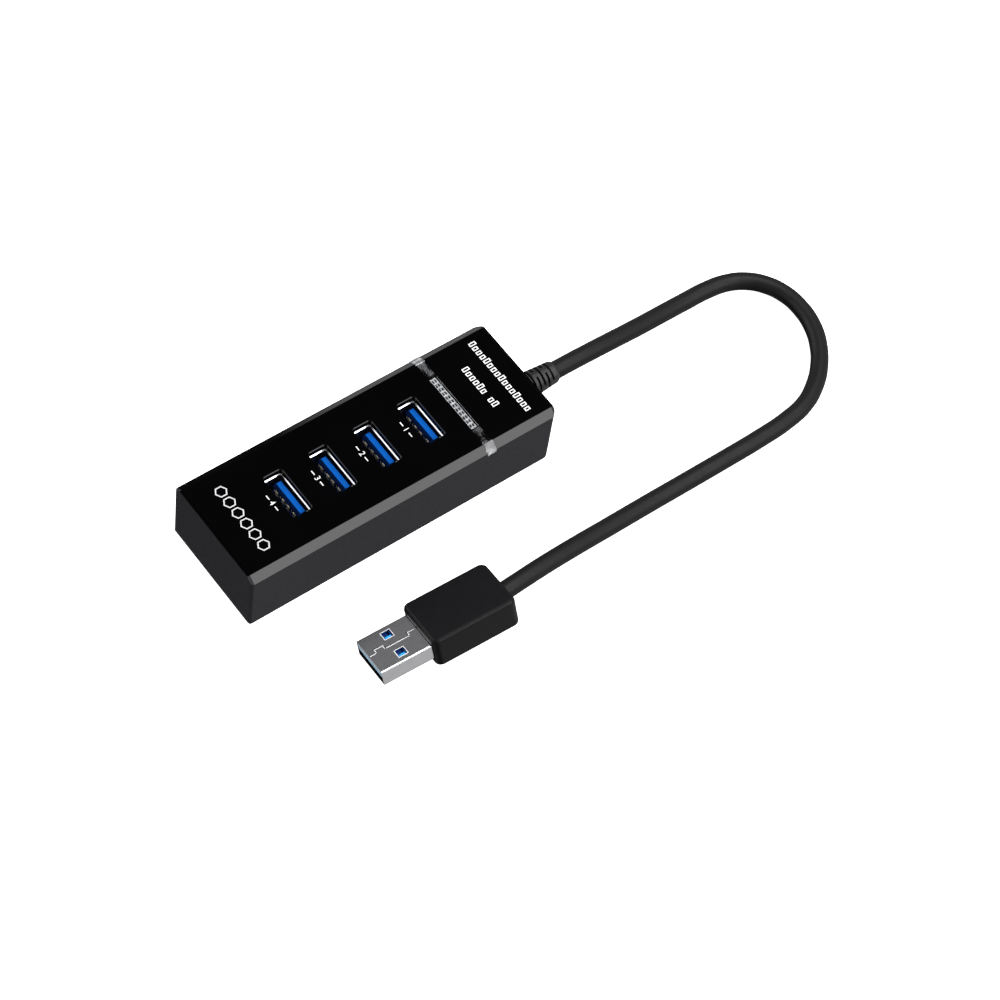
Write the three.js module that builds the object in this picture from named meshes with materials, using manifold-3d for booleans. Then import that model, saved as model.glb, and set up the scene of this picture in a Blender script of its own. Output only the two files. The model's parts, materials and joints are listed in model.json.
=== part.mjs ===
// A four-port USB hub on a short fixed lead, with its USB-A plug. Units are millimetres, +Z is up.
// The origin is the middle of the housing's underside, and the lead leaves the housing's +X end.
// Each piece is one closed solid in its own named mesh.
import * as THREE from 'three';
import { mergeVertices } from 'three/addons/utils/BufferGeometryUtils.js';
import Module from 'manifold-3d';

const wasm = await Module();
wasm.setup();

// ---------------------------------------------------------------- driving sizes

// Housing
const HUB_LENGTH = 86;
const HUB_WIDTH = 31;
const HUB_HEIGHT = 18;
const BEVEL_RISE = 1.4; // the bevel along each long top edge
const BEVEL_RUN = 1.9;
const CABLE_END_RADIUS = 1.8; // upright corners, in plan
const BLIND_END_RADIUS = 0.7;
const WALL = 1.5;
const FLOOR = 1.6;
const END_LIP = 0.5; // thin top of the end walls, outside the cover's ends
const SEAM = 0.15; // open joint between cover and housing
const COVER_EDGE = 0.2; // the cover's upright edge below the bevel
const RIM_WALL = 1.0; // the cover's inner rim, which drops inside the walls
const RIM_DEPTH = 2.4;
const RIM_CLEARANCE = 0.2;
const HOOK_LENGTH = 6;
const HOOK_HEIGHT = 0.8;
const HOOK_REACH = 0.55; // how far a snap hook stands out of the rim
const HOOK_ROOT = 0.3; // how deep a hook is rooted in the rim
const HOOK_LIFT = 0.2; // above the rim's lower edge
const HOOK_CLEARANCE = 0.15;
const HOOK_INSETS = [12, 11]; // each pair's middle from the blind end, and from the cable end

// Ports, standing upright in a row
const PORT_COUNT = 4;
const PORT_PITCH = 12.46;
const FIRST_PORT_INSET = 28.4; // middle of port 1, nearest the lead, from the cable end
const PORT_MOUTH = [4.6, 12.1]; // inside the shell, across and along
const PORT_MOUTH_RADIUS = 0.4;
const PORT_SHELL_WALL = 0.3;
const PORT_LEAD_IN = 0.25; // chamfer inside the shell's rim
const WINDOW_MARGIN = 0.25; // from the mouth to the cover's window, all round
const WINDOW_CHAMFER = 0.15;
const TONGUE_THICKNESS = 1.84;
const TONGUE_SIDE_GAP = 0.85; // from each side of the tongue to the shell
const TONGUE_SINK = 0.85; // tongue tip below the shell's rim
const TONGUE_GAP = 0.65; // between the tongue's back and the shell
const TONGUE_CHAMFER = [0.55, 0.8]; // on the contacts' side of the tip: run, rise
const TONGUE_CORNER = 0.4; // chamfer on the tip's two ends
const TONGUE_ROOT = 1; // how far up inside the base the tongue starts
const INSULATOR_BASE = 3.4;
const INSULATOR_CLEARANCE = 0.08;
const CONTACT_OFFSETS = [-3.5, -1.0, 1.0, 3.5];
const CONTACT_WIDTH = 1.0;
const CONTACT_THICKNESS = 0.2;
const CONTACT_TOP_SINK = 2.15; // contact tips below the shell's rim
const CONTACT_GAP = 0.03;
const CONTACT_CARRIER = 0.5; // the bar that joins a row of contacts
const SHELL_LEG = [0.3, 1.6, 1.6]; // thickness, width, reach below the board's top
const SHELL_LEG_STATIONS = [-4, 4];
const SPRING_SLOT = [1.4, 5.5]; // the cut round each spring leaf: width, height
const SPRING_CUT = 0.25;
const SPRING_DROP = 2.5; // the cut's upper end below the rim

// Light strip
const LIGHT_INSET = 19.05; // the strip's middle from the cable end
const LIGHT_WIDTH = 2.1;
const LIGHT_DEPTH = 0.9;
const LIGHT_CLEARANCE = 0.08;
const LUG_MARGIN = 0.2; // a lug is wider than the strip by this on each side
const LUG_DEPTH = 0.9;
const LUG_PROUD = 0.15;
const LUG_DROP = 0.7; // how far a lug reaches below the bevel
const LEG_LENGTH = 2.4;
const LEG_MARGIN = 0.25; // a leg is narrower than the strip by this on each side
const LEG_CLEARANCE = 0.15;
const LED_INSET = 3; // from the board's long edge to an LED's middle
const LED_SIZE = [1.6, 3.2, 1.1];
const LED_GAP = 0.3;
const LADDER_PITCH = 1.34;
const LADDER_RUNG = 0.36;
const LADDER_RAIL = 0.16;
const LADDER_THICKNESS = 0.35;
const LADDER_MARGIN = 0.25; // narrower than the strip by this on each side
const LADDER_END_GAP = 0.6; // between the ladder and each leg
const LADDER_CLEARANCE = 0.1;

// Board
const BOARD_THICKNESS = 1.2;
const BOARD_HEIGHT = 3.1; // underside above the origin
const BOARD_SIDE_GAP = 0.8; // from the board to each side wall
const BOARD_BLIND_GAP = 0.9; // to the blind end's wall
const BOARD_CABLE_GAP = 1.38; // to the strain relief's flange
const POST_RADIUS = 1.6;
const POST_ROOT = 0.5; // how deep a post is rooted in the floor
const PEG_RADIUS = 0.75;
const PEG_PROUD = 0.5; // above the board
const PEG_HOLE_CLEARANCE = 0.15;
const POST_INSET = [3, 2.4]; // from the board's corners, along and across
const SEAT_GAP = 0.05;
const BOARD_SLOT_CLEARANCE = 0.2;
const TAIL_NOTCH_CLEARANCE = 0.3;

// Components on the board: length along X, width, height
const COMPONENT_CHAMFER = 0.15;
const COMPONENT_RADIUS = 0.2;
const COMPONENT_GAP = 0.6;
const CONTROLLER = [7, 7, 0.9];
const CRYSTAL = [3.2, 2.5, 0.8];
const REGULATOR = [3.5, 6.5, 1.6];
const REGULATOR_INSET = [6, 3.4]; // from the board's blind end, and from its long edge
const FUSE = [3.2, 1.6, 0.8];
const FUSE_GAP = 0.85; // from the port's shell
const CAPACITOR_BASE = [5.3, 5.3, 0.9];
const CAPACITOR_RADIUS = 2.4;
const CAPACITOR_HEIGHT = 5.4;
const CAPACITOR_PLACE = [3.9, 3.6]; // from the light strip's middle, and from the board's long edge

// Lead
const EXIT_HEIGHT = 7;
const CABLE_DIAMETER = 4.5;
const RELIEF_REACH = 12;
const RELIEF_ROOT_RADIUS = 3.7;
const RELIEF_TIP_RADIUS = 2.8;
const RELIEF_TIP_ROUND = 0.6;
const RELIEF_NECK_RADIUS = 3.0;
const RELIEF_FLANGE_RADIUS = 4.8;
const RELIEF_FLANGE = 1.4;
const RELIEF_CLEARANCE = 0.12;
const RELIEF_SLOTS = 7;
const RELIEF_SLOT_WIDTH = 0.6;
const RELIEF_SLOT_START = 1.9; // middle of the first slot ring from the wall
const RELIEF_SLOT_END = 2.1; // middle of the last slot ring from the tip
const RELIEF_CORE_RADIUS = 2.25;
const RELIEF_WEB = 1.6;
const FREE_END_GAP = 0.3; // between the cable and what it meets
const TAIL_LENGTH = 3.2;
const WIRE_DIAMETER = 0.9;
const WIRE_SPACING = 0.1; // between neighbours at the cable
const PAD_PITCH = 2.6; // at the board
const WIRE_RUN = 3.8; // from the cable to where a wire meets the board
const WIRE_LANDING = 1.5; // the straight end on the board
const WIRE_SEAT = 0.1;

// Plug
const PLUG_SHELL = [12, 4.5]; // width, thickness
const PLUG_SHELL_LENGTH = 18.75;
const PLUG_SHELL_EXPOSED = 12.9;
const PLUG_SHELL_WALL = 0.3;
const PLUG_SHELL_RADIUS = 0.5;
const PLUG_HOLE = 2.4;
const PLUG_HOLE_AT = [6.6, 3.25]; // from the tip, and either side of the middle
const PLUG_SEAM = 0.14;
const PLUG_SEAM_STEP = 1.1;
const PLUG_SEAM_TURNS = [1.75, 4.3, 10.4]; // where the dovetail seam steps, from the tip
const PLUG_SEAM_END = 2; // short of the shell's rear, so that the shell stays one piece
const PLUG_TONGUE = 1.9; // thickness
const PLUG_TONGUE_SINK = 0.25;
const PLUG_SIDE_PLAY = 0.2;
const PLUG_BASE_PROUD = 0.8; // the insulator's full-height base, out of the overmould
const PLUG_BASE_INSET = 0.3; // short of the shell's rear
const PLUG_CONTACT_START = 1.2;
const PLUG_FIT = 0.08;
const PLUG_POCKET = [1.6, 0.7]; // the dimple under each hole: length, depth
const OVERMOULD_LENGTH = 22;
const OVERMOULD_WALL = [1.55, 1.9]; // beside the shell, and over and under it
const OVERMOULD_CORNER = 1.8;
const OVERMOULD_EDGE = 0.9;
const OVERMOULD_RECESS = [0.7, 0.4]; // round the shell's root: depth, margin
const INNER_MOULD_LENGTH = 7;
const INNER_MOULD_GAP = 0.2; // behind the shell
const INNER_MOULD_TRIM = [1.6, 0.4]; // narrower and thinner than the shell by this

// Where the plug lies: the middle of its cable end from the lead's exit, and how it is turned, in degrees
const PLUG_REAR = [-48, -43.62, 7.98];
const PLUG_YAW = -4.8;
const PLUG_PITCH = -6.1;
const PLUG_ROLL = -16;

// The cable's centre line, from the strain relief's tip to the plug: along X and Y from the lead's exit,
// and height above the surface that the hub stands on.
const CABLE_ROUTE = [
  [0.3, 0, 7], [6, 0, 6.9], [12, 0.1, 6.45], [19, 0.4, 5.5], [27, 0.8, 4.3], [35, 1.3, 3.2],
  [43, 1.6, 2.45], [49.5, 1.5, 2.32], [55, 0.6, 2.3], [59.6, -1.6, 2.3], [63, -5, 2.3], [65.3, -9.8, 2.3],
  [65.9, -15.5, 2.3], [64.8, -21.6, 2.3], [62.1, -27.1, 2.3], [58.4, -31.7, 2.3], [53.8, -35.5, 2.3],
  [48.1, -38.4, 2.3], [41, -39.8, 2.3], [32, -40.3, 2.3], [21, -40.4, 2.3], [9, -40.4, 2.35],
  [-3, -40.6, 2.9], [-15, -41.2, 4.2], [-26, -41.9, 5.8], [-36, -42.7, 7.2], [-43, -43.3, 7.85],
  [-47.4, -43.6, 8],
];
const CABLE_SIDES = 10;
const CABLE_STEPS = 32;

// ---------------------------------------------------------------- colours

const finish = (color, roughness, metalness = 0, opacity = 1) => new THREE.MeshStandardMaterial({
  color, roughness, metalness, opacity, transparent: opacity < 1, flatShading: true,
});
const MATTE_SHELL = finish(0x36363a, 0.6);
const GLOSS_COVER = finish(0x08080a, 0.12);
const CLEAR = finish(0xc8ccd0, 0.1, 0, 0.45);
const WHITE = finish(0xf0f0f0, 0.5);
const BOARD_GREEN = finish(0x1d4a2c, 0.5);
const BRIGHT_METAL = finish(0xc4c5c8, 0.25, 0.95);
const PORT_BLUE = finish(0x0f58c4, 0.4);
const PLUG_BLUE = finish(0x3f9be8, 0.4);
const CONTACT_METAL = finish(0xc9b07a, 0.3, 0.9);
const CHIP_BLACK = finish(0x1a1a1c, 0.55);
const CERAMIC = finish(0xb59a6c, 0.6);
const SOFT_BLACK = finish(0x1d1d1f, 0.7);
const WIRE_COLOURS = [0xb02020, 0x208040, 0xd8d8d8, 0x202020, 0x2050b0];

// ---------------------------------------------------------------- solids

// A three.js geometry as a solid that can be cut and joined, turned the right way out.
function solid(geometry) {
  const bare = new THREE.BufferGeometry();
  bare.setAttribute('position', geometry.getAttribute('position').clone());
  if (geometry.index) bare.setIndex(geometry.index.clone());
  const merged = mergeVertices(bare, 1e-4);
  const triVerts = new Uint32Array(merged.index.array);
  const vertProperties = new Float32Array(merged.attributes.position.array);
  const made = new wasm.Manifold(new wasm.Mesh({ numProp: 3, vertProperties, triVerts }));
  if (made.volume() > 0) return made;
  for (let i = 0; i < triVerts.length; i += 3) {
    [triVerts[i + 1], triVerts[i + 2]] = [triVerts[i + 2], triVerts[i + 1]];
  }
  return new wasm.Manifold(new wasm.Mesh({ numProp: 3, vertProperties, triVerts }));
}

const join = (...solids) => solids.reduce((all, one) => all.add(one));
const cut = (body, ...tools) => tools.reduce((left, tool) => left.subtract(tool), body);

function node(name, body, material) {
  const made = body.getMesh();
  const geometry = new THREE.BufferGeometry();
  geometry.setAttribute('position', new THREE.BufferAttribute(made.vertProperties, 3));
  geometry.setIndex(new THREE.BufferAttribute(made.triVerts, 1));
  geometry.computeVertexNormals();
  const mesh = new THREE.Mesh(geometry, material);
  mesh.name = name;
  return mesh;
}

// A block between two limits on each axis.
function block([x0, x1], [y0, y1], [z0, z1]) {
  const geometry = new THREE.BoxGeometry(x1 - x0, y1 - y0, z1 - z0);
  return solid(geometry.translate((x0 + x1) / 2, (y0 + y1) / 2, (z0 + z1) / 2));
}

const about = (middle, size) => [middle - size / 2, middle + size / 2];

// A rectangle centred on the origin; radii may differ between its low and its high first-axis ends.
function roundedRectangle(width, height, lowRadius, highRadius = lowRadius) {
  const [x, y] = [width / 2, height / 2];
  const outline = new THREE.Shape();
  outline.moveTo(-x + lowRadius, -y);
  outline.lineTo(x - highRadius, -y);
  outline.absarc(x - highRadius, -y + highRadius, highRadius, -Math.PI / 2, 0);
  outline.absarc(x - highRadius, y - highRadius, highRadius, 0, Math.PI / 2);
  outline.absarc(-x + lowRadius, y - lowRadius, lowRadius, Math.PI / 2, Math.PI);
  outline.absarc(-x + lowRadius, -y + lowRadius, lowRadius, Math.PI, Math.PI * 1.5);
  outline.closePath();
  return outline;
}

const polygon = (points) => new THREE.Shape(points.map(([a, b]) => new THREE.Vector2(a, b)));

// An outline in plan, raised from z0 to z1.
function raised(outline, z0, z1, curveSegments = 3) {
  const geometry = new THREE.ExtrudeGeometry(outline, { depth: z1 - z0, bevelEnabled: false, curveSegments });
  return solid(geometry.translate(0, 0, z0));
}

// An outline in (Y, Z), drawn out along X from x0 to x1.
function drawnAlongX(outline, x0, x1, curveSegments = 4) {
  const geometry = new THREE.ExtrudeGeometry(outline, { depth: x1 - x0, bevelEnabled: false, curveSegments });
  const axes = new THREE.Matrix4().makeBasis(
    new THREE.Vector3(0, 1, 0), new THREE.Vector3(0, 0, 1), new THREE.Vector3(1, 0, 0),
  );
  return solid(geometry.applyMatrix4(axes).translate(x0, 0, 0));
}

// An outline in (X, Z), drawn out along Y from y0 to y1.
function drawnAlongY(outline, y0, y1) {
  const geometry = new THREE.ExtrudeGeometry(outline, { depth: y1 - y0, bevelEnabled: false });
  return solid(geometry.rotateX(Math.PI / 2).translate(0, y1, 0));
}

// A profile of [x, radius] points, turned about a line along X at height z.
function turnedAboutX(profile, z, segments = 28) {
  const geometry = new THREE.LatheGeometry(profile.map(([x, r]) => new THREE.Vector2(r, x)), segments);
  const axes = new THREE.Matrix4().makeBasis(
    new THREE.Vector3(0, 1, 0), new THREE.Vector3(1, 0, 0), new THREE.Vector3(0, 0, -1),
  );
  return solid(geometry.applyMatrix4(axes).translate(0, 0, z));
}

function cylinder(radius, x, y, z0, z1, segments = 20) {
  const geometry = new THREE.CylinderGeometry(radius, radius, z1 - z0, segments);
  return solid(geometry.rotateX(Math.PI / 2).translate(x, y, (z0 + z1) / 2));
}

// A round tube's solid along a smooth curve through the points.
function tube(points, radius, sides, steps) {
  const path = new THREE.CatmullRomCurve3(points.map((p) => new THREE.Vector3(...p)), false, 'centripetal');
  const section = polygon(Array.from({ length: sides }, (_, i) => {
    const turn = (i / sides) * Math.PI * 2;
    return [radius * Math.cos(turn), radius * Math.sin(turn)];
  }));
  return solid(new THREE.ExtrudeGeometry(section, { steps, extrudePath: path, bevelEnabled: false }));
}

// ---------------------------------------------------------------- heights and places that follow

const HALF = HUB_LENGTH / 2;
const SIDE = HUB_WIDTH / 2;
const BEVEL_FOOT = HUB_HEIGHT - BEVEL_RISE;
const COVER_UNDERSIDE = BEVEL_FOOT - COVER_EDGE;
const WALL_TOP = COVER_UNDERSIDE - SEAM;
const RIM_FOOT = COVER_UNDERSIDE - RIM_DEPTH;
const FLANGE_FACE = HALF - WALL - RELIEF_CLEARANCE - RELIEF_FLANGE;
const BOARD_TOP = BOARD_HEIGHT + BOARD_THICKNESS;
const BOARD_WIDTH = HUB_WIDTH - 2 * (WALL + BOARD_SIDE_GAP);
const BOARD_X = [-HALF + WALL + BOARD_BLIND_GAP, FLANGE_FACE - BOARD_CABLE_GAP];
const PORT_RIM = COVER_UNDERSIDE - SEAT_GAP;
const PORT_FOOT = BOARD_TOP + SEAT_GAP;
const SHELL_OUTSIDE = PORT_MOUTH.map((size) => size + 2 * PORT_SHELL_WALL);
const portX = (port) => HALF - FIRST_PORT_INSET - port * PORT_PITCH;
const ports = Array.from({ length: PORT_COUNT }, (_, port) => port);
const LIGHT_X = HALF - LIGHT_INSET;
const LEG_WIDTH = LIGHT_WIDTH - 2 * LEG_MARGIN;
const LED_Y = BOARD_WIDTH / 2 - LED_INSET;
const LADDER_WIDTH = LIGHT_WIDTH - 2 * LADDER_MARGIN;
const LADDER_ROOM = 2 * (LED_Y - LEG_LENGTH / 2 - LADDER_END_GAP);
const LADDER_CELLS = Math.floor((LADDER_ROOM - LADDER_RUNG) / LADDER_PITCH); // along each of its two rows
const LADDER_LENGTH = LADDER_CELLS * LADDER_PITCH + LADDER_RUNG;
const WIRE_START = FLANGE_FACE - TAIL_LENGTH - 2 * FREE_END_GAP;
const POSTS = [-1, 1].flatMap((side) => [
  [BOARD_X[0] + POST_INSET[0], side * (BOARD_WIDTH / 2 - POST_INSET[1])],
  [BOARD_X[1] - POST_INSET[0], side * (BOARD_WIDTH / 2 - POST_INSET[1])],
]);

// ---------------------------------------------------------------- housing and cover

// The housing's outline in plan, moved in by an inset.
const planWithin = (inset) => roundedRectangle(
  HUB_LENGTH - 2 * inset, HUB_WIDTH - 2 * inset,
  Math.max(BLIND_END_RADIUS - inset, 0.3), Math.max(CABLE_END_RADIUS - inset, 0.3),
);

// The outside of cover and housing together.
function hubOutside() {
  const section = polygon([
    [-SIDE, 0], [SIDE, 0], [SIDE, BEVEL_FOOT], [SIDE - BEVEL_RUN, HUB_HEIGHT],
    [BEVEL_RUN - SIDE, HUB_HEIGHT], [-SIDE, BEVEL_FOOT],
  ]);
  return drawnAlongX(section, -HALF, HALF).intersect(raised(planWithin(0), -1, HUB_HEIGHT + 1, 6));
}

const hookSides = [-1, 1].flatMap((side) => [
  [HOOK_INSETS[0] - HALF, side], [HALF - HOOK_INSETS[1], side],
]);

// A round bar on the lead's axis from x0 to x1.
const alongTheExit = (radius, x0, x1, segments = 28) => turnedAboutX([
  [x0, 0], [x0, radius], [x1, radius], [x1, 0],
], EXIT_HEIGHT, segments);

// A snap hook's bar, or the recess that it clicks into, on one side of the rim.
function hookBar([x, side], grow) {
  const rimFace = SIDE - WALL - RIM_CLEARANCE;
  const reach = rimFace + HOOK_REACH + grow;
  const low = RIM_FOOT + HOOK_LIFT;
  const y = [rimFace - HOOK_ROOT, reach].map((v) => v * side).sort((a, b) => a - b);
  return block(about(x, HOOK_LENGTH + 2 * grow), y, [low - grow, low + HOOK_HEIGHT + grow]);
}

// The clear strip's shape; a positive grow gives the channel that it lies in.
function lightShape(grow) {
  const above = grow > 0 ? 1 : 0;
  const strip = block(
    about(LIGHT_X, LIGHT_WIDTH + 2 * grow),
    [BEVEL_RUN - SIDE - grow, SIDE - BEVEL_RUN + grow],
    [HUB_HEIGHT - LIGHT_DEPTH - grow, HUB_HEIGHT + above],
  );
  const foot = BEVEL_FOOT - LUG_DROP - grow;
  const outer = SIDE + LUG_PROUD + above;
  const inner = SIDE - LUG_DEPTH - grow;
  const lug = (side) => drawnAlongX(polygon([
    [side * outer, foot], [side * outer, BEVEL_FOOT + LUG_PROUD / 2],
    [side * (SIDE - BEVEL_RUN + above), HUB_HEIGHT + LUG_PROUD + above],
    [side * (SIDE - BEVEL_RUN - LUG_DEPTH / 2 - grow), HUB_HEIGHT + LUG_PROUD + above],
    [side * (SIDE - BEVEL_RUN - LUG_DEPTH / 2 - grow), HUB_HEIGHT - LIGHT_DEPTH - grow],
    [side * (inner - LUG_DEPTH / 2), HUB_HEIGHT - LIGHT_DEPTH - grow], [side * inner, BEVEL_FOOT - grow],
    [side * inner, foot],
  ]), ...about(LIGHT_X, LIGHT_WIDTH + 2 * (LUG_MARGIN + grow)));
  return join(strip, lug(-1), lug(1));
}

function lowerHousing() {
  const betweenLips = [END_LIP - HALF, HALF - END_LIP];
  const coverRoom = block(betweenLips, [-SIDE - 1, SIDE + 1], [WALL_TOP, HUB_HEIGHT + 1]);
  const inside = raised(planWithin(WALL), FLOOR, HUB_HEIGHT + 1).intersect(
    block([-HALF, HALF], [-SIDE, SIDE], [0, WALL_TOP + 0.01]),
  );
  const shell = cut(
    hubOutside(), coverRoom, inside, lightShape(LIGHT_CLEARANCE),
    alongTheExit(RELIEF_NECK_RADIUS + RELIEF_CLEARANCE, HALF - WALL - 1, HALF + 1),
    alongTheExit(RELIEF_FLANGE_RADIUS + RELIEF_CLEARANCE, FLANGE_FACE - RELIEF_CLEARANCE, HALF - WALL),
    ...hookSides.map((place) => hookBar(place, HOOK_CLEARANCE)),
  );
  const posts = POSTS.flatMap(([x, y]) => [
    cylinder(POST_RADIUS, x, y, FLOOR - POST_ROOT, BOARD_HEIGHT - SEAT_GAP),
    cylinder(PEG_RADIUS, x, y, FLOOR, BOARD_TOP + PEG_PROUD, 14),
  ]);
  return join(shell, ...posts);
}

// A port's window through the cover, chamfered at the top.
function windowCutter(port) {
  const [across, along] = PORT_MOUTH.map((size) => size + 2 * WINDOW_MARGIN);
  const radius = PORT_MOUTH_RADIUS + WINDOW_MARGIN;
  const straight = raised(roundedRectangle(across, along, radius), COVER_UNDERSIDE - 1, HUB_HEIGHT + 0.5);
  const flare = new THREE.ExtrudeGeometry(roundedRectangle(across, along, radius), {
    depth: 1, bevelEnabled: true, bevelThickness: WINDOW_CHAMFER, bevelSize: WINDOW_CHAMFER, bevelSegments: 1,
    curveSegments: 4,
  });
  return join(straight, solid(flare.translate(0, 0, HUB_HEIGHT))).translate([portX(port), 0, 0]);
}

function topCover() {
  const slab = hubOutside().intersect(
    block([END_LIP + SEAM - HALF, HALF - END_LIP - SEAM], [-SIDE, SIDE], [COVER_UNDERSIDE, HUB_HEIGHT]),
  );
  const rimOutside = planWithin(WALL + RIM_CLEARANCE);
  rimOutside.holes.push(planWithin(WALL + RIM_CLEARANCE + RIM_WALL));
  const rim = raised(rimOutside, RIM_FOOT, COVER_UNDERSIDE + COVER_EDGE);
  const through = [RIM_FOOT - 1, HUB_HEIGHT - LIGHT_DEPTH];
  const [legWidth, legLength] = [LEG_WIDTH, LEG_LENGTH].map((size) => size + 2 * LEG_CLEARANCE);
  const legHoles = [-1, 1].map((side) => block(
    about(LIGHT_X, legWidth), about(side * LED_Y, legLength), through,
  ));
  const [slotWidth, slotLength] = [LADDER_WIDTH, LADDER_LENGTH].map((size) => size + 2 * LADDER_CLEARANCE);
  const ladderSlot = block(about(LIGHT_X, slotWidth), about(0, slotLength), through);
  // Where the strain relief's flange reaches up to the rim, the rim makes way for it.
  const flangeRoom = alongTheExit(
    RELIEF_FLANGE_RADIUS + RELIEF_CLEARANCE, FLANGE_FACE - RELIEF_CLEARANCE, HALF,
  );
  return cut(
    join(slab, cut(rim, flangeRoom), ...hookSides.map((place) => hookBar(place, 0))),
    ...ports.map(windowCutter), lightShape(LIGHT_CLEARANCE), ...legHoles, ladderSlot,
  );
}

// ---------------------------------------------------------------- light strip

function lightGuide() {
  const legs = [-1, 1].map((side) => block(
    about(LIGHT_X, LEG_WIDTH), about(side * LED_Y, LEG_LENGTH),
    [PORT_FOOT + LED_SIZE[2] + LED_GAP, HUB_HEIGHT - LIGHT_DEPTH / 2],
  ));
  return join(lightShape(0), ...legs);
}

function lightDiffuser() {
  const top = HUB_HEIGHT - LIGHT_DEPTH - SEAT_GAP;
  const layer = [top - LADDER_THICKNESS, top];
  const plate = block(about(LIGHT_X, LADDER_WIDTH), about(0, LADDER_LENGTH), layer);
  const cell = (LADDER_WIDTH - 3 * LADDER_RAIL) / 2;
  const cells = Array.from({ length: LADDER_CELLS }, (_, i) => [-1, 1].map((side) => block(
    about(LIGHT_X + (side * (cell + LADDER_RAIL)) / 2, cell),
    about((i + 0.5) * LADDER_PITCH - (LADDER_LENGTH - LADDER_RUNG) / 2, LADDER_PITCH - LADDER_RUNG),
    [layer[0] - 1, layer[1] + 1],
  ))).flat();
  return cut(plate, ...cells);
}

// ---------------------------------------------------------------- ports

function portShell() {
  const [across, along] = SHELL_OUTSIDE;
  const outline = roundedRectangle(across, along, PORT_MOUTH_RADIUS + PORT_SHELL_WALL);
  const outside = raised(outline, PORT_FOOT, PORT_RIM);
  const mouth = roundedRectangle(...PORT_MOUTH, PORT_MOUTH_RADIUS);
  const inside = raised(mouth, PORT_FOOT - 1, PORT_RIM + 1);
  const leadIn = new THREE.ExtrudeGeometry(mouth, {
    depth: 1, bevelEnabled: true, bevelThickness: PORT_LEAD_IN, bevelSize: PORT_LEAD_IN, bevelSegments: 1,
    curveSegments: 4,
  });
  const legs = [-1, 1].flatMap((side) => SHELL_LEG_STATIONS.map((y) => block(
    about((side * (across - SHELL_LEG[0])) / 2, SHELL_LEG[0]), about(y, SHELL_LEG[1]),
    [BOARD_TOP - SHELL_LEG[2], PORT_FOOT + 0.5],
  )));
  // A U-shaped cut leaves each spring leaf hanging from its upper end.
  const springs = SHELL_LEG_STATIONS.flatMap((y) => {
    const top = PORT_RIM - SPRING_DROP;
    const foot = top - SPRING_SLOT[1];
    const through = [-across, across];
    return [
      block(through, about(y - SPRING_SLOT[0] / 2, SPRING_CUT), [foot, top]),
      block(through, about(y + SPRING_SLOT[0] / 2, SPRING_CUT), [foot, top]),
      block(through, about(y, SPRING_SLOT[0] + SPRING_CUT), [foot - SPRING_CUT, foot]),
    ];
  });
  return cut(
    join(outside, ...legs), inside, solid(leadIn.translate(0, 0, PORT_RIM)), ...springs,
  );
}

const TONGUE_BACK = PORT_MOUTH[0] / 2 - TONGUE_GAP;
const TONGUE_FACE = TONGUE_BACK - TONGUE_THICKNESS;
const TONGUE_TIP = PORT_RIM - TONGUE_SINK;

function portInsulator() {
  const [across, along] = PORT_MOUTH.map((size) => size - 2 * INSULATOR_CLEARANCE);
  const plan = roundedRectangle(across, along, PORT_MOUTH_RADIUS - INSULATOR_CLEARANCE);
  const base = raised(plan, PORT_FOOT, PORT_FOOT + INSULATOR_BASE);
  const half = PORT_MOUTH[1] / 2 - TONGUE_SIDE_GAP;
  const root = PORT_FOOT + TONGUE_ROOT;
  const front = drawnAlongX(polygon([
    [-half, root], [half, root], [half, TONGUE_TIP - TONGUE_CORNER], [half - TONGUE_CORNER, TONGUE_TIP],
    [TONGUE_CORNER - half, TONGUE_TIP], [-half, TONGUE_TIP - TONGUE_CORNER],
  ]), TONGUE_FACE, TONGUE_BACK);
  const [run, rise] = TONGUE_CHAMFER;
  const side = drawnAlongY(polygon([
    [TONGUE_FACE, root], [TONGUE_BACK, root], [TONGUE_BACK, TONGUE_TIP],
    [TONGUE_FACE + run, TONGUE_TIP], [TONGUE_FACE, TONGUE_TIP - rise],
  ]), -half, half);
  return join(base, front.intersect(side));
}

const CONTACT_SPAN = [CONTACT_OFFSETS[0], CONTACT_OFFSETS[CONTACT_OFFSETS.length - 1]];

// The four long contacts, joined by a carrier bar at the insulator's base.
function portContacts() {
  const face = TONGUE_FACE - CONTACT_GAP;
  const across = [face - CONTACT_THICKNESS, face];
  const foot = PORT_FOOT + INSULATOR_BASE + CONTACT_GAP;
  const strips = CONTACT_OFFSETS.map((y) => block(
    across, about(y, CONTACT_WIDTH), [foot, PORT_RIM - CONTACT_TOP_SINK],
  ));
  return join(block(across, CONTACT_SPAN, [foot, foot + CONTACT_CARRIER]), ...strips);
}

// ---------------------------------------------------------------- board and what is on it

function mainBoard() {
  const plate = block(BOARD_X, about(0, BOARD_WIDTH), [BOARD_HEIGHT, BOARD_TOP]);
  const through = [BOARD_HEIGHT - 1, BOARD_TOP + 1];
  const pegHoles = POSTS.map(([x, y]) => cylinder(PEG_RADIUS + PEG_HOLE_CLEARANCE, x, y, ...through, 14));
  const [thick, wide] = SHELL_LEG.map((size) => size + 2 * BOARD_SLOT_CLEARANCE);
  const legPlaces = ports.flatMap((port) => [-1, 1].map(
    (side) => portX(port) + (side * (SHELL_OUTSIDE[0] - SHELL_LEG[0])) / 2,
  ));
  const legSlots = legPlaces.flatMap((x) => SHELL_LEG_STATIONS.map(
    (y) => block(about(x, thick), about(y, wide), through),
  ));
  const tailNotch = alongTheExit(CABLE_DIAMETER / 2 + TAIL_NOTCH_CLEARANCE, WIRE_START, HALF);
  return cut(plate, ...pegHoles, ...legSlots, tailNotch);
}

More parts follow.
